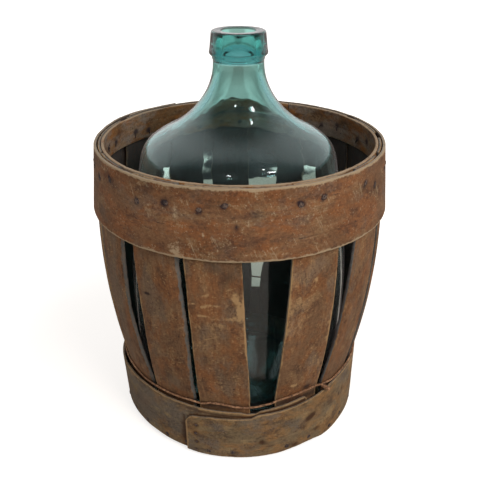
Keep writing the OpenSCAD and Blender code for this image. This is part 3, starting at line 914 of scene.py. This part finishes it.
wire_iron = iron_material("rusted_wire_iron", srgb(206, 160, 122), srgb(152, 110, 80),
                          srgb(82, 60, 46), 0.0002)


def wire_spline(curve, points, closed):
    spline = curve.splines.new("POLY")
    spline.points.add(len(points) - 1)
    for point, place in zip(spline.points, points):
        point.co = (*place, 1.0)
    spline.use_cyclic_u = closed


def wire_point(azimuth):
    around = wire_azimuths + (180,)
    z = read_off(around, wire_heights + (wire_heights[0],), azimuth)
    z += 0.0004 * noise_at(azimuth * 0.2, 0, 2)
    return at_azimuth(azimuth, slat_face(z) + wire_radius + 0.0003, z)


curve = bpy.data.curves.new("foot_wire_turn", "CURVE")
curve.dimensions = "3D"
curve.bevel_depth = wire_radius
curve.bevel_resolution = 3
wire_spline(curve, [wire_point(-180 + step) for step in range(360)], True)
twist_root = wire_point(wire_twist_azimuth)
twist_along = Vector((0.62, -0.25, -0.30)).normalized()
twist_side = twist_along.cross(Vector((0, 0, 1))).normalized()
twist_up = twist_side.cross(twist_along).normalized()
for phase in (0.0, math.pi):
    strand = []
    for step in range(wire_twist_steps + 1):
        share = step / wire_twist_steps
        angle = phase + share * 7.5 * math.pi
        strand.append(twist_root + twist_along * (share * wire_twist_length)
                      + twist_side * (wire_spread * math.cos(angle))
                      + twist_up * (wire_spread * math.sin(angle)))
    wire_spline(curve, strand, False)
curve.use_fill_caps = True
curve.materials.append(wire_iron)
wire = put_in_scene("foot_wire_turn", curve)
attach(wire, "basket")
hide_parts("foot_wire")

# Bottle
# A demijohn of blown aqua glass with an applied collar. Its wall is thin in the body and thick in
# the neck, its bottom is pushed up, and it stands loose on the base board.

bottle_stand = 0.016
bottle_height = 0.477
body_radius, body_height = 0.1405, 0.154
shoulder_radius, shoulder_height = 0.124, 0.310
slope_radius, slope_height = 0.0877, 0.361
neck_radius, neck_height = 0.0302, 0.441
base_ring_radius, base_ring_width = 0.100, 0.009
push_up = 0.014
bottom_glass = 0.0075
# Thickness of the wall by height: heavy at the heel, thin in the body, heavy again from the
# shoulder up, as the glass ran when it was blown
wall_heights = (0.0, 0.030, 0.075, 0.120, 0.270, 0.300, 0.325, 0.350, 0.400, 0.441)
wall_glass = (0.0085, 0.0070, 0.0036, 0.0021, 0.0018, 0.0024, 0.0042, 0.0060, 0.0070, 0.0072)
mouth_radius, mouth_length = 0.0198, 0.028
collar_height, collar_top, collar_foot, collar_round = 0.026, 0.032, 0.0345, 0.0026
shoulder_lean, body_lean = math.radians(62.6), math.radians(8.5)
bottle_aside = -0.0012
glass_steps = 26
glass_slices = 160


def pulled_curve(start, first_pull, last_pull, end):
    """Points of a cubic curve, without its end."""
    points = []
    for step in range(glass_steps):
        t = step / glass_steps
        s = 1 - t
        points.append(tuple(s ** 3 * start[i] + 3 * s * s * t * first_pull[i]
                            + 3 * s * t * t * last_pull[i] + t ** 3 * end[i] for i in (0, 1)))
    return points


def pulled(point, pull, lean):
    return point[0] + pull * math.sin(lean), point[1] - pull * math.cos(lean)


body_point, shoulder_point = (body_radius, body_height), (shoulder_radius, shoulder_height)
slope_point, neck_point = (slope_radius, slope_height), (neck_radius, neck_height)
outside_line = (
    pulled_curve((base_ring_radius, 0), (base_ring_radius + 0.032, 0),
                 (body_radius, body_height - 0.080), body_point)
    + pulled_curve(body_point, (body_radius, body_height + 0.060),
                   pulled(shoulder_point, 0.050, body_lean), shoulder_point)
    + pulled_curve(shoulder_point, pulled(shoulder_point, -0.0305, body_lean),
                   pulled(slope_point, 0.033, shoulder_lean), slope_point)
    + pulled_curve(slope_point, pulled(slope_point, -0.033, shoulder_lean),
                   (neck_radius, neck_height - 0.035), neck_point)
    + [neck_point])
inside_line = []
for i in range(1, len(outside_line)):
    before, here = outside_line[i - 1], outside_line[i]
    after = outside_line[min(i + 1, len(outside_line) - 1)]
    run = Vector((after[0] - before[0], after[1] - before[1])).normalized()
    wall = read_off(wall_heights, wall_glass, here[1])
    inside_line.append((here[0] - wall * run.y, here[1] + wall * run.x))
inside_floor = push_up * 0.35 + bottom_glass
inside_line = [point for point in inside_line if point[1] > inside_floor]
collar_low = bottle_height - collar_height
hollow_radius = base_ring_radius - base_ring_width
profile = (
    [(hollow_radius * i / 12, push_up * (1 - (i / 12) ** 2)) for i in range(13)]
    + outside_line
    + [(neck_radius + out, collar_low - drop) for out, drop in (
        (0, 0.0062), (0.0006, 0.0056), (0.0009, 0.0045), (0.0009, 0.0034), (0.0016, 0.0024))]
    + [(collar_foot - back, collar_low + rise) for back, rise in (
        (0.0006, -0.0003), (0, 0.0006), (0, 0.0028), (0.0005, 0.0042))]
    + [(collar_top - collar_round * (1 - math.cos(math.radians(a))),
        bottle_height - collar_round * (1 - math.sin(math.radians(a)))) for a in range(0, 91, 15)]
    + [(mouth_radius + 0.002, bottle_height), (mouth_radius + 0.0006, bottle_height - 0.0006),
       (mouth_radius, bottle_height - 0.002),
       (mouth_radius, bottle_height - mouth_length),
       (neck_radius - wall_glass[-1], bottle_height - mouth_length - 0.0045)]
    + inside_line[::-1]
    + [(inside_line[0][0] - 0.004, inside_floor)]
    + [(hollow_radius * i / 12, bottom_glass + push_up * (1 - (i / 12) ** 2 * 0.65))
       for i in range(11, -1, -1)])

bm = bmesh.new()
rim_line = [bm.verts.new((radius, 0, z)) for radius, z in profile]
for first, second in zip(rim_line, rim_line[1:]):
    bm.edges.new((first, second))
bmesh.ops.spin(bm, geom=bm.verts[:] + bm.edges[:], cent=(0, 0, 0), axis=(0, 0, 1),
               angle=2 * math.pi, steps=glass_slices, use_merge=True, use_duplicate=False)
bmesh.ops.remove_doubles(bm, verts=bm.verts[:], dist=0.00002)
bmesh.ops.recalc_face_normals(bm, faces=bm.faces[:])
for vert in bm.verts:
    x, y, z = vert.co
    radius = math.hypot(x, y)
    calm = min(1.0, max(0.0, (0.46 - z) / 0.1)) * min(1.0, radius / 0.03)
    swell = noise_at(x * 9, y * 9, z * 7) * 0.0010 * calm
    grow = 1 + (swell - 0.0003 * calm) / max(radius, 0.01)
    vert.co = (x * grow + bottle_aside, y * grow, z + bottle_stand)


def glass_material():
    """Thick aqua glass with faint waves, whose colour comes from its depth."""
    material, tree, shader = new_material("aqua_blown_glass")
    # The sheen and the coat are a dull film of dust, which reflects softly over the clear glass
    for socket, value in (
            ("Base Color", (1.0, 1.0, 1.0, 1.0)), ("Metallic", 0.0), ("Transmission Weight", 1.0),
            ("IOR", 1.5), ("Specular IOR Level", 0.35), ("Coat Roughness", 0.3),
            ("Sheen Weight", 0.36), ("Sheen Roughness", 0.4),
            ("Sheen Tint", (1.0, 0.86, 0.86, 1.0))):
        shader.inputs[socket].default_value = value
    place = add_node(tree, "ShaderNodeTexCoord").outputs["Object"]
    smear = grained(tree, place, (30.0, 30.0, 14.0), 4.0, 0.6)
    tree.links.new(between(tree, smear, 0.4, 0.75, 0.008, 0.05), shader.inputs["Roughness"])
    tree.links.new(between(tree, smear, 0.3, 0.7, 0.1, 0.5), shader.inputs["Coat Weight"])
    wave = grained(tree, place, (26.0, 26.0, 9.0), 2.0, 0.5)
    ripple = grained(tree, place, (90.0, 90.0, 40.0), 2.0, 0.5)
    bump = add_node(tree, "ShaderNodeBump",
                    {"Height": sum_of(tree, (wave, 1.0), (ripple, 0.06)), "Strength": 0.6,
                     "Distance": 0.0012})
    tree.links.new(bump.outputs["Normal"], shader.inputs["Normal"])
    through = add_node(tree, "ShaderNodeBsdfTransparent", {"Color": (0.40, 0.55, 0.54, 1.0)})
    rays = add_node(tree, "ShaderNodeLightPath")
    mixed = add_node(tree, "ShaderNodeMixShader", {0: rays.outputs["Is Shadow Ray"],
                                                   1: shader.outputs[0], 2: through.outputs[0]})
    output = tree.nodes["Material Output"]
    tree.links.new(mixed.outputs[0], output.inputs["Surface"])
    depth_tint = add_node(tree, "ShaderNodeVolumeAbsorption",
                          {"Color": (0.0, 0.60, 0.59, 1.0), "Density": 92.0})
    tree.links.new(depth_tint.outputs[0], output.inputs["Volume"])
    return material


new_piece("demijohn", bm, glass_material(), "bottle", ["glass_bottle"])

# Studio
# A pale floor in a white surround, which shows painted shade and a painted glow through the
# glass, one wide soft lamp from the front right, a weaker one from the left, three small ones for
# the glints, and the camera where the photograph was taken.

floor_size, floor_drop = 6.0, 0.0002
floor_mesh = bpy.data.meshes.new("studio_floor")
bm = bmesh.new()
bmesh.ops.create_grid(bm, x_segments=1, y_segments=1, size=floor_size)
bmesh.ops.translate(bm, vec=(0, 0, -floor_drop), verts=bm.verts)
bm.to_mesh(floor_mesh)
bm.free()
floor = put_in_scene("studio_floor", floor_mesh)
floor_paint, tree, floor_shader = new_material("studio_floor_white")
place = add_node(tree, "ShaderNodeTexCoord").outputs["Object"]
ground = add_node(tree, "ShaderNodeSeparateXYZ", {"Vector": place}).outputs
rays = add_node(tree, "ShaderNodeLightPath").outputs
# Seen through the glass the floor takes painted shade: it is darker, and a dark band crosses it
# behind the basket, which shows only through the bottle
beyond = sum_of(tree, (ground["Y"], 1.0), (ground["X"], -0.32))
hill = sum_of(tree, (beyond, 1.0), (worked(tree, "ABSOLUTE", ground["X"]), 1.4))
near_side = between(tree, beyond, 0.955, 0.975, 1.0, 0.0)
far_side = between(tree, hill, 1.25, 1.4)
painted_dark_band = plus(tree, sum_of(tree, (near_side, -1.0), (far_side, -1.0)), 1.0)
# Seen through the glass, the floor before the basket takes painted shade as well
before = times(tree, between(tree, ground["Y"], 0.0, 0.2, 0.9, 0.0), rays["Is Transmission Ray"])
floor_color = blended(tree, rays["Is Transmission Ray"], (0.62, 0.56, 0.50, 1.0),
                      (0.34, 0.28, 0.21, 1.0))
floor_color = blended(tree, worked(tree, "MAXIMUM", painted_dark_band, before), floor_color,
                      (0.02, 0.02, 0.02, 1.0))
floor_glow = blended(tree, rays["Is Transmission Ray"], (1.0, 1.0, 1.0, 1.0),
                     (1.0, 0.88, 0.80, 1.0))
floor_shader.inputs["Roughness"].default_value = 0.9
floor_shader.inputs["Specular IOR Level"].default_value = 0.1
# Seen through the glass it has a painted glow: further off first bright, then dimmer, with a dull
# strip down the middle, and a weaker glow between the basket and the dark band
middle_strip = between(tree, worked(tree, "ABSOLUTE", plus(tree, ground["X"], 0.02)),
                       0.08, 0.13, 0.60, 1.0)
far_light = sum_of(tree, (between(tree, ground["Y"], 1.4, 2.0, 1.15, 0.46), 1.0),
                   (between(tree, ground["Y"], 2.2, 2.8, 0.0, 0.4), 1.0))
far_light = times(tree, times(tree, far_light, middle_strip), far_side)
near_light = times(tree, near_side, between(tree, ground["Y"], 0.1, 0.3, 0.0, 0.28))
away = add_node(tree, "ShaderNodeVectorMath", {0: place}, operation="LENGTH").outputs["Value"]
seen_direct = times(tree, rays["Is Camera Ray"], between(tree, away, 0.3, 0.7, 0.72, 1.0))
glow_strength = worked(tree, "MULTIPLY_ADD", rays["Is Transmission Ray"],
                       plus(tree, far_light, near_light), seen_direct)
for socket, value in (("Base Color", floor_color), ("Emission Color", floor_glow),
                      ("Emission Strength", glow_strength)):
    tree.links.new(value, floor_shader.inputs[socket])
floor_mesh.materials.append(floor_paint)

world = bpy.data.worlds.new("studio_world")
bpy.context.scene.world = world
world.use_nodes = True
tree = world.node_tree
rays = add_node(tree, "ShaderNodeLightPath").outputs
# Glass shows a bright surround behind the object and a dim room in front of it
heading = add_node(tree, "ShaderNodeTexCoord").outputs["Generated"]
heading = add_node(tree, "ShaderNodeSeparateXYZ", {"Vector": heading}).outputs
behind_object = between(tree, heading["Y"], -0.10, 0.40, 0.10, 0.85)
in_glass = worked(tree, "MAXIMUM", rays["Is Glossy Ray"], rays["Is Transmission Ray"])
strength = add_node(tree, "ShaderNodeMix", {0: in_glass, 2: 0.42, 3: behind_object}).outputs[0]
strength = worked(tree, "MAXIMUM", rays["Is Camera Ray"], strength)
tree.links.new(strength, tree.nodes["Background"].inputs["Strength"])
tree.nodes["Background"].inputs["Color"].default_value = (1.0, 1.0, 1.0, 1.0)


def soft_lamp(name, place, aim, size, power):
    lamp = bpy.data.lights.new(name, "AREA")
    lamp.shape = "DISK"
    lamp.size = size
    lamp.energy = power
    made = put_in_scene(name, lamp)
    made.location = place
    made.rotation_euler = (Vector(aim) - Vector(place)).to_track_quat("-Z", "Y").to_euler()
    return made


# The wide lamps light without a glare in the glass, and three small ones give its glints
for wide_lamp in (soft_lamp("key_lamp", (1.1, -1.4, 1.7), (0, 0, 0.2), 1.1, 26.0),
                  soft_lamp("fill_lamp", (-1.4, -0.9, 1.2), (0, 0, 0.2), 1.2, 2.0)):
    wide_lamp.visible_glossy = False
    wide_lamp.visible_transmission = False
soft_lamp("right_glint", (1.0, -0.75, 1.9), (0, 0, 0.4), 0.24, 3.4)
soft_lamp("high_glint", (0.75, -0.5, 2.3), (0, 0, 0.4), 0.12, 1.0)
soft_lamp("left_glint", (-0.30, -1.2, 1.9), (0, 0, 0.4), 0.14, 1.0)

# The photograph's width and its fitted focal length in pixels, and how far the camera looks down
photo_width, photo_focal = 480, 676.7
look_down = 26.24
camera = bpy.data.cameras.new("photo_camera")
camera.sensor_width = 36.0
camera.sensor_fit = "HORIZONTAL"
camera.lens = camera.sensor_width * photo_focal / photo_width
view = put_in_scene("photo_camera", camera)
view.location = (0.0005, -0.800, 0.6194)
view.rotation_euler = (math.radians(90 - look_down), 0, 0)
bpy.context.scene.camera = view

bpy.context.scene.view_settings.view_transform = "Standard"
